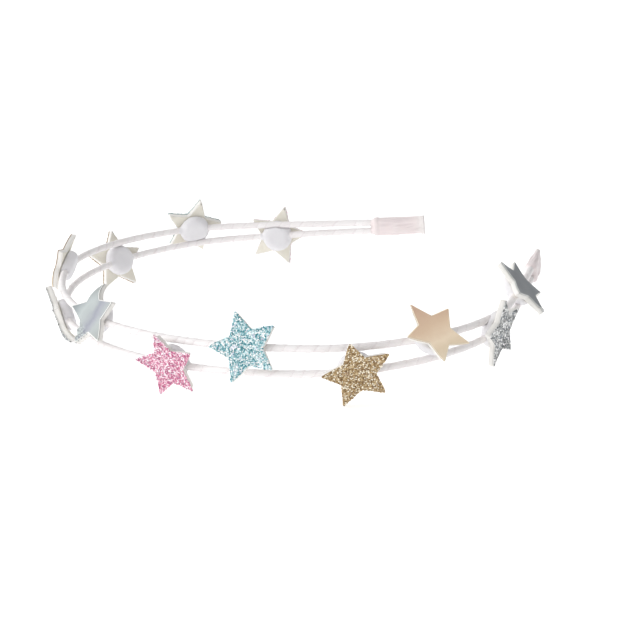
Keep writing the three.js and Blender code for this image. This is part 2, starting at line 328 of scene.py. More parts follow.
# %% The winding tree
RIBBON_PITCH = 3.6
RIBBON_STEP = 0.1
RIBBON_UNEVEN = 1.4
RIBBON_SWAY = 0.45
RIBBON_LUMP = 0.09
RIBBON_LUMP_LENGTH = 1.82
RIBBON_SIDES = 20
RIBBON_SPACING = 0.3


def winding_tree():
    """A round sweep along the path, lifted turn by turn like an overlapping ribbon."""
    tree, given = new_tree(
        "ribbon_winding", Radius="Float", Pitch="Float", Step="Float", Uneven="Float", Lump="Float",
        Spacing="Float", Sides="Int", Seed="Float", Ribbon="Material",
    )
    path = add(tree, "GeometryNodeMeshToCurve", {"Mesh": given["Geometry"]})
    even = add(tree, "GeometryNodeResampleCurve", {
        "Curve": path, "Length": given["Spacing"],
    }, mode="LENGTH")
    upright = add(tree, "GeometryNodeSetCurveNormal", {"Curve": even}, mode="Z_UP")
    place = add(tree, "GeometryNodeSplineParameter").outputs
    line = add(tree, "GeometryNodeStoreNamedAttribute", {
        "Geometry": upright, "Name": "along", "Value": place["Length"],
    })
    ring = add(tree, "GeometryNodeCurvePrimitiveCircle", {
        "Resolution": given["Sides"], "Radius": given["Radius"],
    })
    profile = add(tree, "GeometryNodeStoreNamedAttribute", {
        "Geometry": ring, "Name": "around", "Value": place["Factor"],
    })
    sweep = add(tree, "GeometryNodeCurveToMesh", {
        "Curve": line, "Profile Curve": profile, "Fill Caps": True,
    })
    along = add(tree, "GeometryNodeInputNamedAttribute", {"Name": "along"})
    around = add(tree, "GeometryNodeInputNamedAttribute", {"Name": "around"})
    turns = add(tree, "ShaderNodeMath", {0: along, 1: given["Pitch"]}, operation="DIVIDE")
    sway = add(tree, "ShaderNodeTexNoise", {
        "W": add(tree, "ShaderNodeMath", {0: turns, 1: given["Seed"]}, operation="ADD"),
        "Scale": RIBBON_SWAY, "Detail": 0.0,
    }, noise_dimensions="1D")
    late = add(tree, "ShaderNodeMath", {
        0: sway, 1: given["Uneven"], 2: turns,
    }, operation="MULTIPLY_ADD")
    wound = add(tree, "ShaderNodeMath", {0: late, 1: around}, operation="ADD")
    share = add(tree, "ShaderNodeMath", {0: wound}, operation="FRACT")
    turn = add(tree, "ShaderNodeMath", {0: wound}, operation="FLOOR")
    swell = add(tree, "ShaderNodeTexNoise", {
        "Vector": add(tree, "GeometryNodeInputPosition"),
        "Scale": 1 / RIBBON_LUMP_LENGTH / MM, "Detail": 1.0,
    })
    lump = add(tree, "ShaderNodeMath", {0: swell, 1: given["Lump"]}, operation="MULTIPLY")
    lift = add(tree, "ShaderNodeMath", {0: share, 1: given["Step"], 2: lump}, operation="MULTIPLY_ADD")
    outward = add(tree, "ShaderNodeVectorMath", {
        0: add(tree, "GeometryNodeInputNormal"), "Scale": lift,
    }, operation="SCALE")
    with_share = add(tree, "GeometryNodeStoreNamedAttribute", {
        "Geometry": sweep, "Name": "wind", "Value": share,
    })
    with_turn = add(tree, "GeometryNodeStoreNamedAttribute", {
        "Geometry": with_share, "Name": "turn", "Value": turn,
    })
    lifted = add(tree, "GeometryNodeSetPosition", {"Geometry": with_turn, "Offset": outward})
    smooth = add(tree, "GeometryNodeSetShadeSmooth", {"Geometry": lifted})
    return finish_tree(tree, smooth, given["Ribbon"])


ribbon_winding = winding_tree()

# %% [markdown]
# ## Satin ribbon
# Satin ribbon is woven polyester with long floating threads, so it is smooth and pearly: pale, with a
# soft broad highlight. Its colour here is white with a breath of pink. Along the edge of each turn a
# faint pinker, darker line is painted shade, at the step where the turn overlaps the next. Each turn has
# a slightly different tone, and fine ribs run along the ribbon, drawn a little coarser than the real
# threads so that they show.

# %% Satin ribbon of the wires
SATIN_THREAD = 0.3
SATIN_RELIEF = 0.05
RIBBON_EDGE_SHADE = 0.2


def weave_satin(tree, shader, colour, across, width, relief, roughness):
    """Gives a shader the gloss of satin, with threads along a ribbon of this width in mm.

    across runs from 0 to 1 over the ribbon's width, and relief says how strongly the threads show."""
    wave = add(tree, "ShaderNodeMath", {0: across, 1: width / SATIN_THREAD * tau}, operation="MULTIPLY")
    ribs = add(tree, "ShaderNodeMath", {0: wave}, operation="SINE")
    bump = add(tree, "ShaderNodeBump", {
        "Height": ribs, "Strength": relief, "Distance": SATIN_RELIEF * MM,
    })
    fill_sockets(tree, shader, {
        "Base Color": colour, "Roughness": roughness, "Normal": bump,
        "Sheen Weight": 0.25, "Sheen Roughness": 0.4,
    })


def satin_ribbon():
    """Pearl white satin, with its winding read from the mesh's own attributes and painted shade at each
    turn's edge.
    """
    material, tree, shader = new_material("pearl_white_satin_ribbon")
    wind = add(tree, "ShaderNodeAttribute", attribute_name="wind").outputs["Fac"]
    turn = add(tree, "ShaderNodeAttribute", attribute_name="turn").outputs["Fac"]
    tone = add(tree, "ShaderNodeTexWhiteNoise", {"W": turn}, noise_dimensions="1D")
    body = add(tree, "ShaderNodeMix", {
        0: tone, MIX_A: linear("f3f0f0"), MIX_B: linear("ede8e8"),
    }, data_type="RGBA")
    # Painted shade: a darker, pinker line at the step where each turn overlaps the next.
    edge = add(tree, "ShaderNodeMapRange", {"Value": wind, "From Min": RIBBON_EDGE_SHADE, "From Max": 0.0})
    drawn = add(tree, "ShaderNodeMix", {
        0: edge, MIX_A: body, MIX_B: linear("e2d9db"),
    }, data_type="RGBA")
    weave_satin(tree, shader, drawn, wind, RIBBON_PITCH, relief=0.25, roughness=0.45)
    return material


pearl_satin = satin_ribbon()
print(pearl_satin.name, "with a rib every", SATIN_THREAD, "mm")

# %% Both wires
BODY = "root"
WINDING_SEED = 31.0


def bake(piece):
    """Turns a piece and its modifiers into a plain mesh."""
    bpy.context.view_layer.update()
    graph = bpy.context.evaluated_depsgraph_get()
    made = bpy.data.meshes.new_from_object(piece.evaluated_get(graph))
    piece.modifiers.clear()
    piece.data = made


def grow(piece, tree, **values):
    """Runs a tree on a piece with these inputs, and keeps the result as a plain mesh."""
    modifier = piece.modifiers.new(tree.name, "NODES")
    modifier.node_group = tree
    for item in tree.interface.items_tree:
        if item.in_out == "INPUT" and item.name in values:
            modifier[item.identifier] = values[item.name]
    bake(piece)


def stand_for(piece, slot, *nodes):
    """Puts a finished piece on the body, and hides the nodes that it replaces. The slot, its finish, is not
    used.
    """
    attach(piece, BODY)
    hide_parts(*nodes)


for name, hand in (("upper_wire", UPPER), ("lower_wire", LOWER)):
    line = bpy.data.meshes.new(name)
    line.from_pydata(
        [wire_point(hand, along) for along in alongs], [(i, i + 1) for i in range(len(alongs) - 1)], [],
    )
    piece = new_piece("wound_" + name, line)
    grow(
        piece, ribbon_winding, Radius=(WIRE_RADIUS - RIBBON_STEP / 2 - RIBBON_LUMP / 2) * MM,
        Pitch=RIBBON_PITCH * MM, Step=RIBBON_STEP * MM, Uneven=RIBBON_UNEVEN, Lump=RIBBON_LUMP * MM,
        Spacing=RIBBON_SPACING * MM, Sides=RIBBON_SIDES, Seed=hand * WINDING_SEED, Ribbon=pearl_satin,
    )
    stand_for(piece, "ribbon", name)
    print(piece.name, len(piece.data.polygons), "faces")

# %% [markdown]
# ## The end wraps
# Each end of the hoop is held by a piece of wider satin ribbon, folded round both wires and over their
# ends. It is a sleeve: round at its mouth, with an overlapping band there, creased lengthwise where the
# ribbon was pulled tight, and pressed flat to a hem at the tip. A loft of rings in mesh code gives full
# control of the creases, so the sleeve is made directly.

# %% A ring of the sleeve
WRAP_LENGTH = 16.3
WRAP_MOUTH = (3.4, 5.4)
WRAP_TIP = (1.6, 5.8)
WRAP_PRESSED_FROM = 0.5
WRAP_CORNER = 1.2
WRAP_CORNER_SLACK = 0.01
WRAP_AROUND = 96


def rounded_ring(width, height, count):
    """Points and outward directions round a rounded rectangle, evenly by length."""
    corner = min(WRAP_CORNER, width / 2 - WRAP_CORNER_SLACK, height / 2 - WRAP_CORNER_SLACK)
    flat_x, flat_y = width - 2 * corner, height - 2 * corner
    pieces = [flat_y, corner * pi / 2, flat_x, corner * pi / 2] * 2
    ring = []
    for i in range(count):
        left = (i + 0.5) / count * sum(pieces)
        index = 0
        while left > pieces[index]:
            left -= pieces[index]
            index += 1
        quarter = index // 2
        reach, run = (width / 2, height / 2) if quarter % 2 == 0 else (height / 2, width / 2)
        if index % 2 == 0:
            out = Vector((1, 0))
            local = Vector((reach, left - (run - corner)))
        else:
            out = Vector((cos(left / corner), sin(left / corner)))
            local = Vector((reach - corner, run - corner)) + out * corner
        spin = Matrix.Rotation(quarter * pi / 2, 2)
        ring.append((spin @ local, spin @ out))
    return ring


mouth_ring = [at for at, out in rounded_ring(*WRAP_MOUTH, WRAP_AROUND)]
mouth_girth = sum((a - b).length for a, b in zip(mouth_ring, mouth_ring[1:] + mouth_ring[:1]))
print("girth of the sleeve behind its mouth in mm:", round(mouth_girth, 1))

# %% [markdown]
# Noise on a circle gives creases that meet themselves all round. Broad noise makes long folds, and the
# absolute value of finer noise makes sharp valleys. They fade out towards the mouth. At the mouth the
# sleeve is gathered onto the two wires, and a doubled layer makes the band there and the hem at the tip.

# %% Creases and the sleeve's rings
CREASE_HEIGHT = 0.34
CREASE_FROM, CREASE_FULL = 0.1, 0.3
CREASE_EASES_FROM = 0.9
CREASE_EASES_BY = 0.5
LONG_FOLD = {"around": 2.2, "along": 1.6, "rise": 0.6, "stride": 7.3}
FINE_FOLD = {"around": 4.0, "along": (2.0, 1.0, 2.4), "rise": -0.7, "stride": 3.1}
WRAP_LIP = (1.95, 4.4)
LIP_LENGTH = 1.6
LIP_PINCH = 0.9
LIP_LEAST = 0.15
BAND_LENGTH = 2.4
BAND_STEP = 0.16
BAND_EDGE = 0.15
HEM_LENGTH = 1.2
HEM_EDGE = 0.1


def crease(side, share, around):
    """Height of the lengthwise creases at a point of the sleeve, in mm."""
    ring = Vector((cos(around * tau), sin(around * tau), 0))
    along = Vector((0, 0, share * LONG_FOLD["along"] + side * LONG_FOLD["stride"]))
    broad = noise.noise(ring * LONG_FOLD["around"] + along)
    along = Vector(FINE_FOLD["along"]) * share + Vector((0, 0, side * FINE_FOLD["stride"]))
    sharp = abs(noise.noise(ring * FINE_FOLD["around"] + along))
    pull = smooth_step(CREASE_FROM, CREASE_FULL, share)
    pull *= 1 - CREASE_EASES_BY * smooth_step(CREASE_EASES_FROM, 1, share)
    return CREASE_HEIGHT * pull * (LONG_FOLD["rise"] * broad + FINE_FOLD["rise"] * sharp)


def sleeve_ring(side, share, inside):
    """One ring of the sleeve, in its own axes: depth, height, and the distance from the mouth."""
    pressed = max(0, (share - WRAP_PRESSED_FROM) / (1 - WRAP_PRESSED_FROM))
    depth = WRAP_MOUTH[0] + (WRAP_TIP[0] - WRAP_MOUTH[0]) * pressed
    height = WRAP_MOUTH[1] + (WRAP_TIP[1] - WRAP_MOUTH[1]) * share
    distance = share * WRAP_LENGTH
    gather = 1 - smooth_step(0, LIP_LENGTH, distance)
    depth += (WRAP_LIP[0] - depth) * gather
    height += (WRAP_LIP[1] - height) * gather
    hem_start = WRAP_LENGTH - HEM_LENGTH
    band = 1 - smooth_step(BAND_LENGTH - BAND_EDGE, BAND_LENGTH + BAND_EDGE, distance)
    hem = smooth_step(hem_start - HEM_EDGE, hem_start + HEM_EDGE, distance)
    ring = []
    for i, (at, out) in enumerate(rounded_ring(depth, height, WRAP_AROUND)):
        between = WIRE_RADIUS ** 2 - (abs(at.y) - END_SPREAD / 2) ** 2
        hugged = sqrt(max(between, LIP_LEAST ** 2)) * (1 if at.x > 0 else -1)
        at.x += (hugged - at.x) * LIP_PINCH * gather ** 3
        rise = crease(side, share, i / WRAP_AROUND) - BAND_STEP + BAND_STEP * max(band, hem)
        ring.append((*(at + out * (rise - inside)), distance))
    return ring


deepest = min(crease(-1, 0.5, i / WRAP_AROUND) for i in range(WRAP_AROUND))
print("deepest crease half way along the left wrap in mm:", round(deepest, 2))

# %% The whole sleeve
WRAP_CLOTH = 0.35
WRAP_RINGS = 64
INNER_EASES_OVER = 8
INNER_ENDS_SHORT_BY = 4
INNER_STEP = 3


def store(mesh, label, values, domain="POINT"):
    """Keeps a number for each corner or face of a mesh, for node trees to read."""
    mesh.attributes.new(label, "FLOAT", domain).data.foreach_set("value", values)


def quads_between(rings):
    """The faces between each ring of corners and the next."""
    for first, second in zip(rings, rings[1:]):
        for i in range(len(first)):
            j = (i + 1) % len(first)
            yield first[i], first[j], second[j], second[i]


def wrap_mesh(name, side):
    """A closed shell: from deep inside to the mouth, then along the outside to the tip."""
    rings = []
    for i in reversed(range(1, WRAP_RINGS - INNER_ENDS_SHORT_BY, INNER_STEP)):
        rings.append(sleeve_ring(side, i / WRAP_RINGS, WRAP_CLOTH * min(1, i / INNER_EASES_OVER)))
    rings += [sleeve_ring(side, i / WRAP_RINGS, 0.0) for i in range(WRAP_RINGS + 1)]
    corners = [point for ring in rings for point in ring]
    count = WRAP_AROUND
    numbers = [range(row * count, (row + 1) * count) for row in range(len(rings))]
    faces = list(quads_between(numbers)) + [tuple(reversed(numbers[0])), tuple(numbers[-1])]
    mesh = bpy.data.meshes.new(name)
    mesh.from_pydata(corners, [], faces)
    around = [i % count / count for i in range(len(corners))]
    store(mesh, "around", around)
    store(mesh, "from_mouth", [z for x, y, z in corners])
    store(mesh, "fold", [crease(side, z / WRAP_LENGTH, at) for at, (x, y, z) in zip(around, corners)])
    mesh.shade_smooth()
    return mesh


def place_wrap(mesh, side):
    """Sets the sleeve on the end of the hoop, its own Z along the wires towards the tip."""
    x, y, heading = plan_at(side * ((LEFT_LENGTH if side < 0 else RIGHT_LENGTH) - WRAP_LENGTH))
    out = Vector((side * cos(heading), side * sin(heading), 0))
    up = Vector((0, 0, 1))
    turn = Matrix((up.cross(out), up, out)).transposed().to_4x4()
    mesh.transform(Matrix.Scale(MM, 4) @ Matrix.Translation(HOOP_SHIFT + Vector((x, y, 0))) @ turn)


wraps = {"end_wrap_left": -1, "end_wrap_right": 1}
wrap_meshes = {name: wrap_mesh("folded_" + name, side) for name, side in wraps.items()}
for name, mesh in wrap_meshes.items():
    place_wrap(mesh, wraps[name])
    print(mesh.name, len(mesh.polygons), "faces")

# %% [markdown]
# The wrap is the same kind of satin as the winding, but wider and pinker. Seen close, its threads run
# along it, so the ribs follow the attribute that goes round the sleeve. In the folds the colour is painted
# a little deeper, a painted shade in the creases, and it is paler at the tip.

# %% Pink satin of the wraps
WRAP_GIRTH = 16.0
WRAP_CLOUD = 2.86
FOLD_SHADES_FROM, FOLD_SHADES_TO = -0.03, -0.16
PALE_FROM, PALE_TO = 0.8, 0.97


def pink_satin():
    """Pale pink satin ribbon: pearly, with lengthwise threads and painted shade in its folds."""
    material, tree, shader = new_material("pale_pink_satin_ribbon")
    around = add(tree, "ShaderNodeAttribute", attribute_name="around").outputs["Fac"]
    down = add(tree, "ShaderNodeAttribute", attribute_name="from_mouth").outputs["Fac"]
    fold = add(tree, "ShaderNodeAttribute", attribute_name="fold").outputs["Fac"]
    # Painted shade: the deeper a crease, the darker its colour.
    fold_shade = add(tree, "ShaderNodeMapRange", {
        "Value": fold, "From Min": FOLD_SHADES_FROM, "From Max": FOLD_SHADES_TO,
    })
    body = add(tree, "ShaderNodeMix", {
        0: fold_shade, MIX_A: mottled(tree, WRAP_CLOUD, linear("e8d9da"), linear("e9e1e0")),
        MIX_B: linear("ded2d3"),
    }, data_type="RGBA")
    tip = add(tree, "ShaderNodeMapRange", {
        "Value": down, "From Min": PALE_FROM * WRAP_LENGTH, "From Max": PALE_TO * WRAP_LENGTH,
    })
    drawn = add(tree, "ShaderNodeMix", {0: tip, MIX_A: body, MIX_B: linear("ece7e5")}, data_type="RGBA")
    weave_satin(tree, shader, drawn, around, WRAP_GIRTH, relief=0.2, roughness=0.4)
    return material


wrap_satin = pink_satin()
for name, mesh in wrap_meshes.items():
    piece = new_piece(mesh.name, mesh, wrap_satin)
    stand_for(piece, "wrap", name)
    print(piece.name, "in", wrap_satin.name)

# %% [markdown]
# ## Measuring the stars
# Every star was set on the hoop at its own tilt, with its tips bent a little, so the scene measures each
# one from its node. A node's mesh is loose triangles: a copy is merged first. The middle of each layer is
# the one corner where five large triangles meet, the outermost corners are the tips, and their heights
# over the middle say how far each tip is bent.

# %% Star frames
STAR_COUNT = 12
STAR_TIPS = 5
STAR_TIP_RADIUS = 9.4
STAR_NOTCH_RADIUS = 4.75
ARM_STEP = tau / STAR_TIPS
WELD = 0.002
MIDDLE_TRIANGLE = 8.0
TIP_SHARE = 0.88

Star = namedtuple("Star", "number origin across up out curls")


def merged(node):
    """A copy of a node's mesh with its loose triangles joined."""
    shape = bmesh.new()
    shape.from_mesh(frame["nodes"][node].data)
    bmesh.ops.remove_doubles(shape, verts=shape.verts, dist=WELD * MM)
    return shape


def layer_middles(shape):
    """The corners in the middle of a layer's two sides: all the triangles that meet there are large."""
    middles = []
    for vert in shape.verts:
        areas = [face.calc_area() for face in vert.link_faces]
        if areas and min(areas) > MIDDLE_TRIANGLE * MM * MM:
            middles.append(vert.co.copy())
    return middles


def measure_star(number):
    """A star's place, axes and bent tips, from its felt and face nodes."""
    felt, face = merged(f"star_felt_{number:02d}"), merged(f"star_face_{number:02d}")
    felt_middles, face_middles = layer_middles(felt), layer_middles(face)
    out = (sum(face_middles, Vector()) / 2 - sum(felt_middles, Vector()) / 2).normalized()
    origin = min(felt_middles, key=lambda point: point.dot(out))
    level = sum((point - origin).dot(out) for point in face_middles) / 2
    tips = []
    for vert in face.verts:
        flat = vert.co - origin - out * (vert.co - origin).dot(out)
        if flat.length > TIP_SHARE * STAR_TIP_RADIUS * MM:
            tips.append((flat, (vert.co - origin).dot(out) - level))
    first = max(tips, key=lambda tip: tip[0].z)[0].normalized()
    across = first.cross(out)
    curls = [[] for arm in range(STAR_TIPS)]
    drift = []
    for flat, height in tips:
        angle = atan2(flat.dot(across), flat.dot(first))
        arm = round(angle / ARM_STEP)
        drift.append(angle - arm * ARM_STEP)
        curls[arm % STAR_TIPS].append(height / MM)
    turn = sum(drift) / len(drift)
    up = first * cos(turn) + across * sin(turn)
    felt.free()
    face.free()
    bent = [round(sum(heights) / len(heights), 2) for heights in curls]
    return Star(number, origin, up.cross(out), up, out, bent)


stars = [measure_star(number) for number in range(1, STAR_COUNT + 1)]
for star in stars:
    print("star", star.number, [round(v / MM, 1) for v in star.origin], "tips bent by", star.curls, "mm")

# %% [markdown]
# ## The star sheet
# Felt and face are both die-cut sheets of one star outline with slightly rounded tips. A constrained
# Delaunay triangulation fills the outline with an even mesh, so that the sheet can bend and crinkle
# smoothly anywhere. It is made once, flat, and every layer of every star uses it: top, underside and a
# rounded rim between them, bent by the star's own tips and by a slight waviness.

# %% Flat star outline and its triangles
ARM_ROOT = STAR_NOTCH_RADIUS * cos(ARM_STEP / 2)
ROOT_HALF_WIDTH = STAR_NOTCH_RADIUS * sin(ARM_STEP / 2)
TIP_ROUND = 0.32
SHEET_SPACING = 0.42
SHEET_MARGIN = 0.6
EDGE_STEPS = 15
TIP_STEPS = 6
FILL_INSIDE = 1
SAME_POINT = 1e-5


def star_outline():
    """The star's outline, counter-clockwise, with the outward direction at each point."""
    half_angle = atan2(ROOT_HALF_WIDTH, STAR_TIP_RADIUS - ARM_ROOT)
    middle = STAR_TIP_RADIUS - TIP_ROUND / sin(half_angle)
    arc = pi / 2 - half_angle
    points = []
    for arm in range(STAR_TIPS):
        angle = -arm * ARM_STEP
        ahead = Vector((sin(angle), cos(angle)))
        aside = Vector((cos(angle), -sin(angle)))
        right = aside * sin(arc) + ahead * cos(arc)
        left = -aside * sin(arc) + ahead * cos(arc)
        root_right = ahead * ARM_ROOT + aside * ROOT_HALF_WIDTH
        root_left = ahead * ARM_ROOT - aside * ROOT_HALF_WIDTH
        centre = ahead * middle
        for i in range(EDGE_STEPS):
            points.append((root_right.lerp(centre + right * TIP_ROUND, i / EDGE_STEPS), right))
        for i in range(TIP_STEPS + 1):
            sweep = arc - 2 * arc * i / TIP_STEPS
            out = ahead * cos(sweep) + aside * sin(sweep)
            points.append((centre + out * TIP_ROUND, out))
        for i in range(1, EDGE_STEPS):
            points.append(((centre + left * TIP_ROUND).lerp(root_left, i / EDGE_STEPS), left))
    return points


def edge_distance(x, y):
    """How far a point lies inside the star's straight edges, in mm; below zero it is outside."""
    arm = round(atan2(x, y) / ARM_STEP) * ARM_STEP
    along = x * sin(arm) + y * cos(arm)
    side = abs(x * cos(arm) - y * sin(arm))
    arm_length = STAR_TIP_RADIUS - ARM_ROOT
    inside = (STAR_TIP_RADIUS - along) * ROOT_HALF_WIDTH - side * arm_length
    return inside / hypot(arm_length, ROOT_HALF_WIDTH)


def flat_star():
    """Points and triangles of the flat star. The outline's points come first, in order."""
    edge = [point for point, out in outline]
    inner = []
    row_height = SHEET_SPACING * sqrt(3) / 2
    rows = int(STAR_TIP_RADIUS / row_height) + 1
    for row in range(-rows, rows + 1):
        for column in range(-rows, rows + 1):
            x = (column + 0.5 * (row % 2)) * SHEET_SPACING
            y = row * row_height
            if edge_distance(x, y) > SHEET_MARGIN * SHEET_SPACING:
                inner.append(Vector((x, y)))
    ring = [list(range(len(edge)))]
    points, _, triangles, sources, *_ = delaunay_2d_cdt(edge + inner, [], ring, FILL_INSIDE, SAME_POINT)
    place = {new: min(source) for new, source in enumerate(sources) if source}
    flat = [Vector((0, 0))] * len(points)
    for new, point in enumerate(points):
        flat[place[new]] = point
    return flat, [[place[i] for i in triangle] for triangle in triangles]


outline = star_outline()
flat_points, flat_triangles = flat_star()
print("flat star:", len(flat_points), "points,", len(flat_triangles), "triangles")

# %% [markdown]
# Two stars were handled roughly: an arm of each is crumpled, and one tip is bent further than its solid.
# The height of the sheet is a sum of these bends, so each is one short term of a function.

# %% Bending
CURL_LENGTH = 5.06
WAVE_HEIGHT = 0.1
WAVE_LENGTH = 5.0
WAVE_STRIDE = 3.7
CRUMPLE_EASES_OVER = 2.0
Crinkle = namedtuple("Crinkle", "arm from_root spacing height slant")
# By the star's number, and the bends by the arm's as well.
CRINKLES = {
    6: Crinkle(arm=3, from_root=-0.6, spacing=1.3, height=0.34, slant=0.6),
    12: Crinkle(arm=3, from_root=2.6, spacing=1.3, height=0.16, slant=0.3),
}
EXTRA_BENDS = {(12, 2): 0.6}


def along_arm(arm, x, y):
    """How far a point lies out past an arm's root, and how far aside, in mm."""
    angle = arm * ARM_STEP
    return x * sin(angle) + y * cos(angle) - ARM_ROOT, x * cos(angle) - y * sin(angle)


def crumpled(star, x, y):
    """How crumpled a star's sheet is at a point, from 0 to 1."""
    if star.number not in CRINKLES:
        return 0.0
    fold = CRINKLES[star.number]
    reach, aside = along_arm(fold.arm, x, y)
    return smooth_step(fold.from_root, fold.from_root + CRUMPLE_EASES_OVER, reach)


def lift(star, x, y):
    """Height of a star's sheet over its flat plane, in mm: bent tips, waviness and crinkles."""
    height = WAVE_HEIGHT * noise.noise(Vector((x / WAVE_LENGTH, y / WAVE_LENGTH, star.number * WAVE_STRIDE)))
    for arm, curl in enumerate(star.curls):
        reach, aside = along_arm(arm, x, y)
        bend = curl + EXTRA_BENDS.get((star.number, arm), 0.0)
        height += bend * (max(0, reach) / CURL_LENGTH) ** 2
    if star.number in CRINKLES:
        fold = CRINKLES[star.number]
        reach, aside = along_arm(fold.arm, x, y)
        ripple = sin((reach + fold.slant * aside) / fold.spacing * tau)
        height += fold.height * crumpled(star, x, y) * ripple
    return height


for number, fold in CRINKLES.items():
    angle = fold.arm * ARM_STEP
    height = lift(stars[number - 1], STAR_TIP_RADIUS * sin(angle), STAR_TIP_RADIUS * cos(angle))
    print("star", number, "has its crumpled tip", round(height, 2), "mm off its plane")

# %% A layer of a star
TOP_SIDE, RIM, UNDERSIDE = 1.0, 2.0, 3.0
RAGGED_LENGTH = 0.5
RAGGED_STRIDE = 5.1


def layer_mesh(name, star, profile, rough=0.0, size=1.0):
    """One layer of a star. profile: the rim from the top side to the underside, as outset and height.

    The faces' showing attribute says which side they are on. The corners' sheet_x, sheet_y and level hold
    their places on the flat sheet in mm, and crumple says how crumpled the sheet is there."""
    count = len(outline)
    flat = []
    for outset, height in (profile[0], profile[-1]):
        for i, point in enumerate(flat_points):
            p = point + outline[i][1] * outset if i < count else point
            flat.append((p.x, p.y, height))
    for outset, height in profile[1:-1]:
        for point, out in outline:
            spot = Vector((*(point / RAGGED_LENGTH), star.number * RAGGED_STRIDE + height))
            p = point + out * (outset + rough * noise.noise(spot))
            flat.append((p.x, p.y, height))
    flat = [(x * size, y * size, height) for x, y, height in flat]
    corners = []
    for x, y, height in flat:
        raised = (height + lift(star, x, y)) * MM
        corners.append(star.origin + star.across * x * MM + star.up * y * MM + star.out * raised)
    low = len(flat_points)
    faces = [tuple(triangle) for triangle in flat_triangles]
    faces += [tuple(low + i for i in reversed(triangle)) for triangle in flat_triangles]
    showing = [TOP_SIDE] * len(flat_triangles) + [UNDERSIDE] * len(flat_triangles)
    starts = [0] + [2 * low + row * count for row in range(len(profile) - 2)] + [low]
    for upper, lower in zip(starts, starts[1:]):
        for i in range(count):
            j = (i + 1) % count
            faces.append((upper + i, lower + i, lower + j, upper + j))
            showing.append(RIM)
    mesh = bpy.data.meshes.new(name)
    mesh.from_pydata(corners, [], faces)
    store(mesh, "showing", showing, "FACE")
    store(mesh, "crumple", [crumpled(star, x, y) for x, y, height in flat])
    for axis, label in enumerate(("sheet_x", "sheet_y", "level")):
        store(mesh, label, [point[axis] for point in flat])
    mesh.polygons.foreach_set("material_index", [1 if side == RIM else 0 for side in showing])
    mesh.shade_smooth()
    return mesh


print("each row of a layer's rim has", len(outline), "corners")

# %% [markdown]
# ## Felt backs
# The back of every star is cream wool felt, a little over a millimetre thick: matt, a little mottled, with
# soft rounded edges and loose fibres. On three stars it was cut a little smaller than the face. The sheet
# gives the body. Geometry Nodes scatters short bent fibres over the sides that show, drawn thicker than
# real ones so that they show, and realizes them into the mesh.

# %% Fibres of the felt
FUZZ_DENSITY = 3.0
FUZZ_LENGTH = 0.45
FUZZ_RADIUS = 0.018
FUZZ_TILT = 1.0
FUZZ_SIDES = 3
FUZZ_STEPS = 3


def turned_at_random(tree, points, tilt, seed):
    """The points' own rotations, each tilted at random by up to the given angle and spun freely."""
    most = add(tree, "ShaderNodeCombineXYZ", {0: tilt, 1: tilt, 2: pi})
    least = add(tree, "ShaderNodeVectorMath", {0: most, "Scale": -1.0}, operation="SCALE")
    random = add(tree, "FunctionNodeRandomValue", {
        0: least, 1: most, "Seed": seed,
    }, data_type="FLOAT_VECTOR")
    return add(tree, "FunctionNodeRotateRotation", {
        "Rotation": points.outputs["Rotation"],
        "Rotate By": add(tree, "FunctionNodeEulerToRotation", {0: random}),
    }, rotation_space="LOCAL")


def fuzz_tree():
    """Short bent fibres scattered over the rim and the underside, joined to the sheet."""
    tree, given = new_tree(
        "felt_fuzz", Density="Float", Length="Float", Radius="Float", Tilt="Float", Seed="Int",
        Felt="Material",
    )
    showing = add(tree, "GeometryNodeInputNamedAttribute", {"Name": "showing"})
    seen = add(tree, "FunctionNodeCompare", {0: showing, 1: (TOP_SIDE + RIM) / 2}, operation="GREATER_THAN")
    roots = add(tree, "GeometryNodeDistributePointsOnFaces", {
        "Mesh": given["Geometry"], "Selection": seen, "Density": given["Density"], "Seed": given["Seed"],
    })
    arc = add(tree, "GeometryNodeCurveQuadraticBezier", {
        "Resolution": FUZZ_STEPS, "Start": (0, 0, 0), "Middle": (0.1, 0, 0.6), "End": (0.55, 0.1, 0.8),
    })
    scale = add(tree, "ShaderNodeCombineXYZ", {i: given["Length"] for i in range(3)})
    sized = add(tree, "GeometryNodeTransform", {"Geometry": arc, "Scale": scale})
    hair = add(tree, "GeometryNodeCurvePrimitiveCircle", {
        "Resolution": FUZZ_SIDES, "Radius": given["Radius"],
    })
    fibre = add(tree, "GeometryNodeCurveToMesh", {
        "Curve": sized, "Profile Curve": hair, "Fill Caps": True,
    })
    planted = add(tree, "GeometryNodeInstanceOnPoints", {
        "Points": roots, "Instance": fibre,
        "Rotation": turned_at_random(tree, roots, given["Tilt"], given["Seed"]),
    })
    both = add(tree, "GeometryNodeJoinGeometry", {0: planted})
    fill_sockets(tree, both, {0: given["Geometry"]})
    return finish_tree(tree, both, given["Felt"])


felt_fuzz = fuzz_tree()

# %% Wool felt and the felt backs
FELT_RIM = [(-0.25, 1.27), (-0.1, 1.2), (-0.04, 0.95), (-0.04, 0.25), (-0.1, 0.02), (-0.28, -0.12)]
FELT_ROUGH = 0.1
FELT_TUCK = {7: 0.4, 9: 0.3, 10: 0.6}
FELT_MOTTLE = 2.5
FELT_FIBRE = 0.4


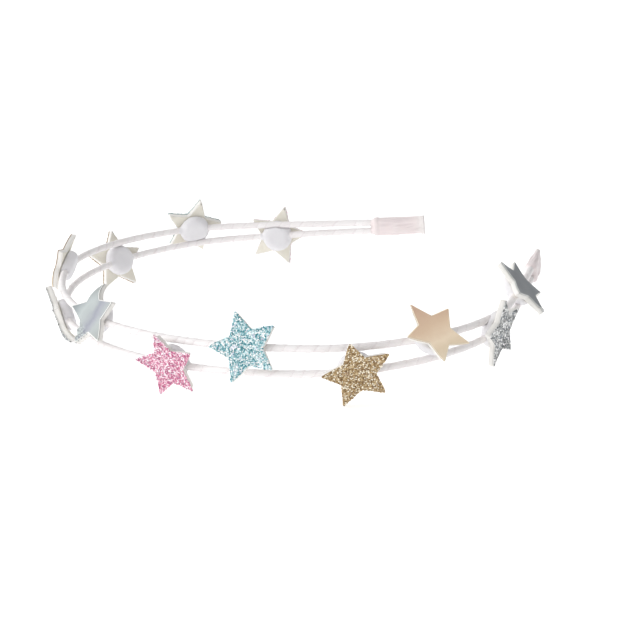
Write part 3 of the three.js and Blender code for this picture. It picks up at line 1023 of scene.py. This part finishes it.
def wool_felt():
    """Pressed wool felt: matt cream, mottled over millimetres, with a fibrous surface and a soft bloom."""
    material, tree, shader = new_material("cream_wool_felt")
    body = mottled(tree, FELT_MOTTLE, linear("e6e1d2"), linear("efece3"), detail=4.0)
    showing = add(tree, "ShaderNodeAttribute", attribute_name="showing").outputs["Fac"]
    # Painted light: the cut rim is painted paler than the felt's top and underside.
    rim = add(tree, "ShaderNodeMath", {0: showing, 1: RIM, 2: 0.5}, operation="COMPARE")
    tint = add(tree, "ShaderNodeMix", {0: rim, MIX_A: body, MIX_B: linear("eeece8")}, data_type="RGBA")
    fibres = add(tree, "ShaderNodeTexNoise", {
        "Vector": add(tree, "ShaderNodeTexCoord").outputs["Object"],
        "Scale": 1 / FELT_FIBRE / MM, "Detail": 3.0, "Distortion": 1.5,
    })
    bump = add(tree, "ShaderNodeBump", {"Height": fibres, "Strength": 0.5, "Distance": 0.1 * MM})
    fill_sockets(tree, shader, {
        "Base Color": tint, "Roughness": 0.95, "Normal": bump,
        "Sheen Weight": 0.3, "Sheen Roughness": 0.6, "Specular IOR Level": 0.2,
    })
    return material


cream_felt = wool_felt()
for star in stars:
    name = f"felt_back_{star.number:02d}"
    size = 1 - FELT_TUCK.get(star.number, 0.0) / edge_distance(0, 0)
    piece = new_piece(name, layer_mesh(name, star, FELT_RIM, rough=FELT_ROUGH, size=size))
    grow(
        piece, felt_fuzz, Density=FUZZ_DENSITY / MM / MM, Length=FUZZ_LENGTH * MM, Radius=FUZZ_RADIUS * MM,
        Tilt=FUZZ_TILT, Seed=star.number, Felt=cream_felt,
    )
    stand_for(piece, "felt", f"star_felt_{star.number:02d}")
print(STAR_COUNT, "felt backs, the last with", len(piece.data.polygons), "faces")

# %% [markdown]
# ## Glitter faces
# Four kinds of star are faced with glitter sheet: hexagonal flakes of coloured film in clear resin. The
# sheet is the resin, and Geometry Nodes lays flakes over it an even distance apart, each with its own
# size, tilt and tone. The tone goes with each flake as an attribute, and the material turns it into one
# of the flake colours, so that light and dark flakes lie side by side as they do in the photograph. Round
# the film's own tint, the darkest flake colours are painted shade and the palest are painted glints.

# %% Flakes of the glitter
FLAKE_SIDES = 6
FLAKE_RADIUS = 0.23
FLAKE_THICKNESS = 0.04
FLAKE_SPACING = 0.24
FLAKE_TILT = 0.35
FLAKE_CROWD = 60
FLAKE_SIZES = (0.6, 1.1)
FLAKE_STANDS = (0.02, 0.1)
STAND_SEED = 5
TONES = (0.001, 1.0)
TONE_SEED = 11


def glitter_tree():
    """Hexagonal flakes spread evenly over the top of a face, joined to its sheet.

    Every flake has a tone above zero and the sheet has none, so the flakes alone get their material."""
    tree, given = new_tree(
        "glitter_flakes", Radius="Float", Thickness="Float", Spacing="Float", Tilt="Float", Seed="Int",
        Flake="Material",
    )
    showing = add(tree, "GeometryNodeInputNamedAttribute", {"Name": "showing"})
    seen = add(tree, "FunctionNodeCompare", {0: showing, 1: (TOP_SIDE + RIM) / 2}, operation="LESS_THAN")
    spots = add(tree, "GeometryNodeDistributePointsOnFaces", {
        "Mesh": given["Geometry"], "Selection": seen, "Distance Min": given["Spacing"],
        "Density Max": FLAKE_CROWD / MM / MM, "Seed": given["Seed"],
    }, distribute_method="POISSON")
    flake = add(tree, "GeometryNodeMeshCylinder", {
        "Vertices": FLAKE_SIDES, "Radius": given["Radius"], "Depth": given["Thickness"],
    })
    size = add(tree, "FunctionNodeRandomValue", {
        2: FLAKE_SIZES[0], 3: FLAKE_SIZES[1], "Seed": given["Seed"],
    }, data_type="FLOAT")
    stand = add(tree, "FunctionNodeRandomValue", {
        2: FLAKE_STANDS[0] * MM, 3: FLAKE_STANDS[1] * MM, "Seed": STAND_SEED,
    }, data_type="FLOAT")
    proud = add(tree, "ShaderNodeVectorMath", {
        0: spots.outputs["Normal"], "Scale": stand,
    }, operation="SCALE")
    raised = add(tree, "GeometryNodeSetPosition", {"Geometry": spots, "Offset": proud})
    laid = add(tree, "GeometryNodeInstanceOnPoints", {
        "Points": raised, "Instance": flake, "Scale": size,
        "Rotation": turned_at_random(tree, spots, given["Tilt"], given["Seed"]),
    })
    shade = add(tree, "FunctionNodeRandomValue", {
        2: TONES[0], 3: TONES[1], "Seed": TONE_SEED,
    }, data_type="FLOAT")
    toned = add(tree, "GeometryNodeStoreNamedAttribute", {
        "Geometry": laid, "Name": "tone", "Value": shade,
    }, domain="INSTANCE")
    both = add(tree, "GeometryNodeJoinGeometry", {0: toned})
    fill_sockets(tree, both, {0: given["Geometry"]})
    tone = add(tree, "GeometryNodeInputNamedAttribute", {"Name": "tone"})
    flakes = add(tree, "FunctionNodeCompare", {0: tone, 1: 0.0}, operation="GREATER_THAN")
    return finish_tree(tree, both, given["Flake"], flakes)


glitter_flakes = glitter_tree()

# %% Glitter materials
# Flake colours, darkest to palest: the darkest are painted shade and the palest painted glints, round the
# film's own tint.
GLITTERS = {
    "pink_glitter": {
        "resin": "d98fa9", "backing": "e2d3d3",
        "flakes": ("b76389", "da88a7", "eeb6ca", "f8d9e5", "fff6fa", "c4adc0"),
    },
    "aqua_glitter": {
        "resin": "9fc6cb", "backing": "c9cfc6",
        "flakes": ("438a95", "90c0c8", "c6e2e6", "e9f6f8", "ffffff", "d6d6ea"),
    },
    "gold_glitter": {
        "resin": "a08258", "backing": "b09672",
        "flakes": ("866a44", "af9368", "c8ad82", "dec9a4", "fff6e0", "b9a086"),
    },
    "silver_glitter": {
        "resin": "858889", "backing": "f1f0ed",
        "flakes": ("313438", "85898c", "b8bbbb", "e8e9e7", "ffffff", "98a2ab"),
    },
}
FLAKE_SHARES = (0.0, 0.2, 0.42, 0.6, 0.73, 0.95)
BACKING_SPECK = 0.833
RESIN_CELL = 0.4545


def set_stops(ramp, stops):
    """Gives a colour ramp its stops, as places from 0 to 1 and sRGB hex colours."""
    while len(ramp.elements) < len(stops):
        ramp.elements.new(0.5)
    for element, (place, colour) in zip(ramp.elements, stops):
        element.position = place
        element.color = linear(colour)


def flake_film(slot, colours):
    """Glitter of metallised film: each flake has one of six tones, from painted shade to painted glints, and
    a hard gloss.
    """
    material, tree, shader = new_material(slot + "_flakes")
    tone = add(tree, "ShaderNodeAttribute", attribute_name="tone").outputs["Fac"]
    film = add(tree, "ShaderNodeValToRGB", {"Fac": tone})
    film.color_ramp.interpolation = "CONSTANT"
    set_stops(film.color_ramp, list(zip(FLAKE_SHARES, colours)))
    gloss = add(tree, "ShaderNodeMapRange", {"Value": tone, "To Min": 0.35, "To Max": 0.2})
    fill_sockets(tree, shader, {"Base Color": film, "Metallic": 0.25, "Roughness": gloss})
    return material


def glitter_resin(slot, colour):
    """The resin sheet under the flakes: satin, mottled by the flakes sunk in it."""
    material, tree, shader = new_material(slot + "_resin")
    cells = add(tree, "ShaderNodeTexVoronoi", {
        "Vector": add(tree, "ShaderNodeTexCoord").outputs["Object"], "Scale": 1 / RESIN_CELL / MM,
    }).outputs["Color"]
    grey = add(tree, "ShaderNodeRGBToBW", {"Color": cells})
    tint = add(tree, "ShaderNodeMix", {
        0: grey, MIX_A: linear(colour, share=0.7), MIX_B: linear(colour),
    }, data_type="RGBA")
    bump = add(tree, "ShaderNodeBump", {"Height": grey, "Strength": 0.5, "Distance": 0.06 * MM})
    fill_sockets(tree, shader, {"Base Color": tint, "Metallic": 0.3, "Roughness": 0.4, "Normal": bump})
    return material


def glitter_backing(slot, colour):
    """The cut side of the glitter sheet: matt cloth backing with a little of the resin on it."""
    material, tree, shader = new_material(slot + "_cut_edge")
    tint = mottled(tree, BACKING_SPECK, linear(colour, share=0.75), linear(colour))
    fill_sockets(tree, shader, {"Base Color": tint, "Roughness": 0.85})
    return material


glitter_paints = {}
for slot, look in GLITTERS.items():
    glitter_paints[slot] = [
        flake_film(slot, look["flakes"]),
        glitter_resin(slot, look["resin"]),
        glitter_backing(slot, look["backing"]),
    ]
    print(slot, [material.name for material in glitter_paints[slot]])

# %% Glitter faces
FACE_TOP = 1.5
FACE_BOTTOM = 1.28
GLITTER_RIM = [(-0.05, FACE_TOP), (0.0, FACE_TOP - 0.06), (0.0, FACE_BOTTOM + 0.05), (-0.05, FACE_BOTTOM)]
SLOTS = {sub["node"]: sub["material_slot"] for sub in frame["record"]["subparts"]}

for star in stars:
    node = f"star_face_{star.number:02d}"
    if SLOTS[node] in GLITTERS:
        flakes, resin, backing = glitter_paints[SLOTS[node]]
        name = f"glitter_face_{star.number:02d}"
        piece = new_piece(name, layer_mesh(name, star, GLITTER_RIM), resin, backing)
        grow(
            piece, glitter_flakes, Radius=FLAKE_RADIUS * MM, Thickness=FLAKE_THICKNESS * MM,
            Spacing=FLAKE_SPACING * MM, Tilt=FLAKE_TILT, Seed=star.number, Flake=flakes,
        )
        stand_for(piece, SLOTS[node], node)
        print(name, SLOTS[node], len(piece.data.polygons), "faces")

# %% [markdown]
# ## Metallic faces
# Two kinds of star are faced with smooth leatherette: cloth coated with plastic and a thin metallic
# foil. It reflects broadly, with a very fine grain. Its colour changes a little across the sheet in bands
# of painted reflection: the gold is painted pinker and darker at the top, with a painted highlight streak
# below the middle, and a painted lilac streak and darker painted bands cross the silver. The two silver
# stars start at different places along these painted bands. Along the cut edge a pale line is painted
# highlight, and under it the cloth is painted dark as shade.

# %% Leatherette materials
# The bands are painted reflection: painted highlight streaks and darker painted shade across the sheet.
LEATHERETTES = {
    # edge is a painted highlight along the cut edge; cloth is the cut edge's cloth, painted dark as shade.
    "gold_leatherette": {
        "reflection_bands": ((-9.0, "e4d5bc"), (-5.0, "e1ceb2"), (-2.2, "ecd9bf"), (1.5, "dbc0a4"), (9.0, "c8a48d")),
        "slant": (0.1, 1.0), "metal": 0.45, "edge": "fbefd9", "cloth": "8f6d47", "crumple_glint": "f4e6cc",
    },
    "silver_leatherette": {
        "reflection_bands": (
            (-8.0, "959a99"), (-4.4, "9ea4a4"), (-2.2, "92959d"), (-1.2, "868993"), (0.8, "9aa0a1"),
            (3.0, "a2a9a9"), (5.5, "8e9597"), (9.0, "6a7073"), (14.0, "90959a"), (20.0, "969a9f"),
            (26.0, "8a8f94"),
        ),
        "slant": (-0.8, 0.6), "metal": 0.4, "edge": "f4f4f0", "cloth": "7f8486", "crumple_glint": "bcc3c3",
    },
}
BAND_REACH = 30.0
CLOUD_SIZE = 5.0
CLOUD_REACH = 2.5
SPECK_SIZE = 0.7
SPECK_FROM, SPECK_FULL = 0.46, 0.58
GRAIN_SIZE = 0.45
EDGE_HIGHLIGHT_DEPTH = (0.06, 0.12)


def metallic_leatherette(slot, look):
    """Foil-coated leatherette: a broad metallic gloss over fine grain, with painted reflection in soft bands
    of colour.

    Where a tip is crumpled, pale specks are painted glints on the crinkled foil."""
    material, tree, shader = new_material("metallic_" + slot)
    place = add(tree, "ShaderNodeTexCoord").outputs["Object"]
    sheet = add(tree, "ShaderNodeCombineXYZ", {
        axis: add(tree, "ShaderNodeAttribute", attribute_name=label).outputs["Fac"]
        for axis, label in enumerate(("sheet_x", "sheet_y", "reflection_shift"))
    })
    across = add(tree, "ShaderNodeVectorMath", {0: sheet, 1: (*look["slant"], 1)}, operation="DOT_PRODUCT")
    cloud = add(tree, "ShaderNodeTexNoise", {"Vector": place, "Scale": 1 / CLOUD_SIZE / MM, "Detail": 3.0})
    drift = add(tree, "ShaderNodeMath", {
        0: cloud, 1: 2 * CLOUD_REACH, 2: -CLOUD_REACH,
    }, operation="MULTIPLY_ADD")
    spot = add(tree, "ShaderNodeMapRange", {
        "Value": add(tree, "ShaderNodeMath", {0: across, 1: drift}, operation="ADD"),
        "From Min": -BAND_REACH, "From Max": BAND_REACH,
    })
    reflection_bands = add(tree, "ShaderNodeValToRGB", {"Fac": spot})
    set_stops(reflection_bands.color_ramp, [((at + BAND_REACH) / BAND_REACH / 2, hue) for at, hue in look["reflection_bands"]])
    # Painted glints: pale specks where a tip is crumpled.
    glint_noise = add(tree, "ShaderNodeTexNoise", {"Vector": place, "Scale": 1 / SPECK_SIZE / MM})
    glint_spots = add(tree, "ShaderNodeMapRange", {"Value": glint_noise, "From Min": SPECK_FROM, "From Max": SPECK_FULL})
    crumple = add(tree, "ShaderNodeAttribute", attribute_name="crumple").outputs["Fac"]
    crumple_glint_mask = add(tree, "ShaderNodeMath", {0: glint_spots, 1: crumple}, operation="MULTIPLY")
    foil = add(tree, "ShaderNodeMix", {
        0: crumple_glint_mask, MIX_A: reflection_bands, MIX_B: linear(look["crumple_glint"]),
    }, data_type="RGBA")
    grain = add(tree, "ShaderNodeTexVoronoi", {"Vector": place, "Scale": 1 / GRAIN_SIZE / MM})
    bump = add(tree, "ShaderNodeBump", {"Height": grain, "Strength": 0.12, "Distance": 0.04 * MM})
    fill_sockets(tree, shader, {
        "Base Color": foil, "Metallic": look["metal"], "Roughness": 0.36, "Normal": bump,
    })
    return material


def cut_edge(slot, look):
    """The cut side of the leatherette: a pale line on top is painted highlight, and under it the cloth is
    painted dark as shade.
    """
    material, tree, shader = new_material("cut_edge_of_" + slot)
    level = add(tree, "ShaderNodeAttribute", attribute_name="level").outputs["Fac"]
    edge_highlight = add(tree, "ShaderNodeMapRange", {
        "Value": level, "From Min": FACE_TOP - EDGE_HIGHLIGHT_DEPTH[1], "From Max": FACE_TOP - EDGE_HIGHLIGHT_DEPTH[0],
    })
    # Painted highlight along the top of the cut edge, and painted shade on the cloth under it.
    tint = add(tree, "ShaderNodeMix", {
        0: edge_highlight, MIX_A: linear(look["cloth"]), MIX_B: linear(look["edge"]),
    }, data_type="RGBA")
    fill_sockets(tree, shader, {"Base Color": tint, "Roughness": 0.6})
    return material


foils = {}
for slot, look in LEATHERETTES.items():
    foils[slot] = metallic_leatherette(slot, look), cut_edge(slot, look)
    print(slot, [material.name for material in foils[slot]])

# %% Leatherette faces
LEATHERETTE_RIM = [
    (-0.24, FACE_TOP), (0.0, FACE_TOP - 0.08), (0.0, FACE_BOTTOM + 0.05), (-0.05, FACE_BOTTOM),
]
# Painted reflection: the second silver star starts further along the painted bands.
REFLECTION_SHIFT = {12: 20.0}

for slot, (foil, side) in foils.items():
    for star in stars:
        node = f"star_face_{star.number:02d}"
        if SLOTS[node] == slot:
            name = f"leatherette_face_{star.number:02d}"
            mesh = layer_mesh(name, star, LEATHERETTE_RIM)
            store(mesh, "reflection_shift", [REFLECTION_SHIFT.get(star.number, 0.0)] * len(mesh.vertices))
            piece = new_piece(name, mesh, foil, side)
            stand_for(piece, slot, node)
            print(name, slot, len(piece.data.polygons), "faces")

# %% [markdown]
# ## Back pads
# A soft round pad covers the wires behind each star. It is a stuffed fabric piece, so its shape comes
# from Blender's Cloth. A merged copy of each pad's solid gets a sleeve of fabric over its own wire, and
# both are remeshed evenly into one skin.

# %% Pads before stuffing
PAD_VOXEL = 0.3
PAD_SLEEVE = 0.42
PAD_SLEEVE_END = 0.1
PAD_SLEEVE_REACH = 4.7
PAD_SLEEVE_SIDES = 14
PAD_SLEEVE_STEPS = 12
HEADING_STEP = 0.1


def add_sleeve(shape, star, hand):
    """Adds the part of the pad's fabric that goes over its own wire, tapering onto it at both sides."""
    nearest = min(alongs, key=lambda along: (wire_point(hand, along) - star.origin).length)
    rings = []
    for step in range(-PAD_SLEEVE_STEPS, PAD_SLEEVE_STEPS + 1):
        share = abs(step) / PAD_SLEEVE_STEPS
        along = nearest + PAD_SLEEVE_REACH * step / PAD_SLEEVE_STEPS
        middle = wire_point(hand, along)
        ahead = (wire_point(hand, along + HEADING_STEP) - middle).normalized()
        aside = ahead.cross(Vector((0, 0, 1))).normalized()
        above = aside.cross(ahead)
        thick = WIRE_RADIUS + PAD_SLEEVE + (PAD_SLEEVE_END - PAD_SLEEVE) * share ** 3
        ring = []
        for i in range(PAD_SLEEVE_SIDES):
            angle = tau * i / PAD_SLEEVE_SIDES
            ring.append(shape.verts.new(middle + (aside * cos(angle) + above * sin(angle)) * thick * MM))
        rings.append(ring)
    for quad in quads_between(rings):
        shape.faces.new(quad)
    shape.faces.new(rings[0][::-1])
    shape.faces.new(rings[-1])


def pad_start(star):
    """A pad's solid, with its fabric over its own wire, as an even mesh of small faces."""
    shape = merged(f"back_disc_{star.number:02d}")
    add_sleeve(shape, star, LOWER if star.number % 2 else UPPER)
    mesh = bpy.data.meshes.new(f"back_pad_{star.number:02d}")
    shape.to_mesh(mesh)
    shape.free()
    piece = new_piece(mesh.name, mesh)
    remesh = piece.modifiers.new("even", "REMESH")
    remesh.mode = "VOXEL"
    remesh.voxel_size = PAD_VOXEL * MM
    bake(piece)
    return piece


pads = [pad_start(star) for star in stars]
print(len(pads), "pads, the first with", len(pads[0].data.polygons), "faces")

# %% [markdown]
# Cloth blows up the skins by pressure. No corner may move further than a small cap, so that the pads stay
# clear of the wires and the felt. Cloth works best on things about a metre wide, so all pads are simulated
# together a hundred times larger.

# %% Stuffing the pads
PAD_ENLARGE = 100
PAD_CAP = 0.2
PAD_PRESSURE = 4.0
PAD_FRAMES = 20
LEAST_MOVE = 1e-12


def inflate(pads):
    """Blows up all pads together with Cloth, and moves each one's corners by no more than the cap."""
    corners, faces, starts = [], [], []
    for pad in pads:
        starts.append(len(corners))
        faces += [[starts[-1] + i for i in face.vertices] for face in pad.data.polygons]
        corners += [v.co * PAD_ENLARGE for v in pad.data.vertices]
    mesh = bpy.data.meshes.new("all_pads")
    mesh.from_pydata(corners, [], faces)
    blown = new_piece("all_pads", mesh)
    cloth = blown.modifiers.new("cloth", "CLOTH").settings
    cloth.use_pressure = True
    cloth.uniform_pressure_force = PAD_PRESSURE
    cloth.effector_weights.gravity = 0
    for step in range(1, PAD_FRAMES + 1):
        bpy.context.scene.frame_set(step)
    bake(blown)
    bpy.context.scene.frame_set(1)
    for pad, start in zip(pads, starts):
        for i, vert in enumerate(pad.data.vertices):
            move = blown.data.vertices[start + i].co / PAD_ENLARGE - vert.co
            vert.co += move * min(1, PAD_CAP * MM / max(move.length, LEAST_MOVE))
    bpy.data.objects.remove(blown)


inflate(pads)
print("pads", "stuffed")

# %% [markdown]
# The pads are a brushed white fabric with a hint of lilac: matt, with a soft bloom and a fine knit, drawn
# a little coarser than real so that it shows.

# %% Pad fabric
KNIT_SIZE = 0.4
KNIT_CLOUD = 4.0
PAD_RELAX = 3


def brushed_fabric():
    """Brushed white knit: matt, slightly lilac, with a fine raised surface and a light bloom."""
    material, tree, shader = new_material("brushed_white_knit")
    knit = add(tree, "ShaderNodeTexVoronoi", {
        "Vector": add(tree, "ShaderNodeTexCoord").outputs["Object"], "Scale": 1 / KNIT_SIZE / MM,
    })
    bump = add(tree, "ShaderNodeBump", {"Height": knit, "Strength": 0.2, "Distance": 0.06 * MM})
    fill_sockets(tree, shader, {
        "Base Color": mottled(tree, KNIT_CLOUD, linear("dcdade"), linear("e9e8ea"), detail=3.0),
        "Roughness": 0.9, "Normal": bump,
        "Sheen Weight": 0.35, "Specular IOR Level": 0.2,
    })
    return material


pad_fabric = brushed_fabric()
for number, pad in enumerate(pads, 1):
    relax = pad.modifiers.new("relax", "SMOOTH")
    relax.iterations = PAD_RELAX
    finer = pad.modifiers.new("finer", "SUBSURF")
    finer.levels = finer.render_levels = 1
    bake(pad)
    pad.data.materials.clear()
    pad.data.materials.append(pad_fabric)
    pad.data.shade_smooth()
    stand_for(pad, "disc", f"back_disc_{number:02d}")
print("pads dressed, the first with", len(pads[0].data.polygons), "faces")
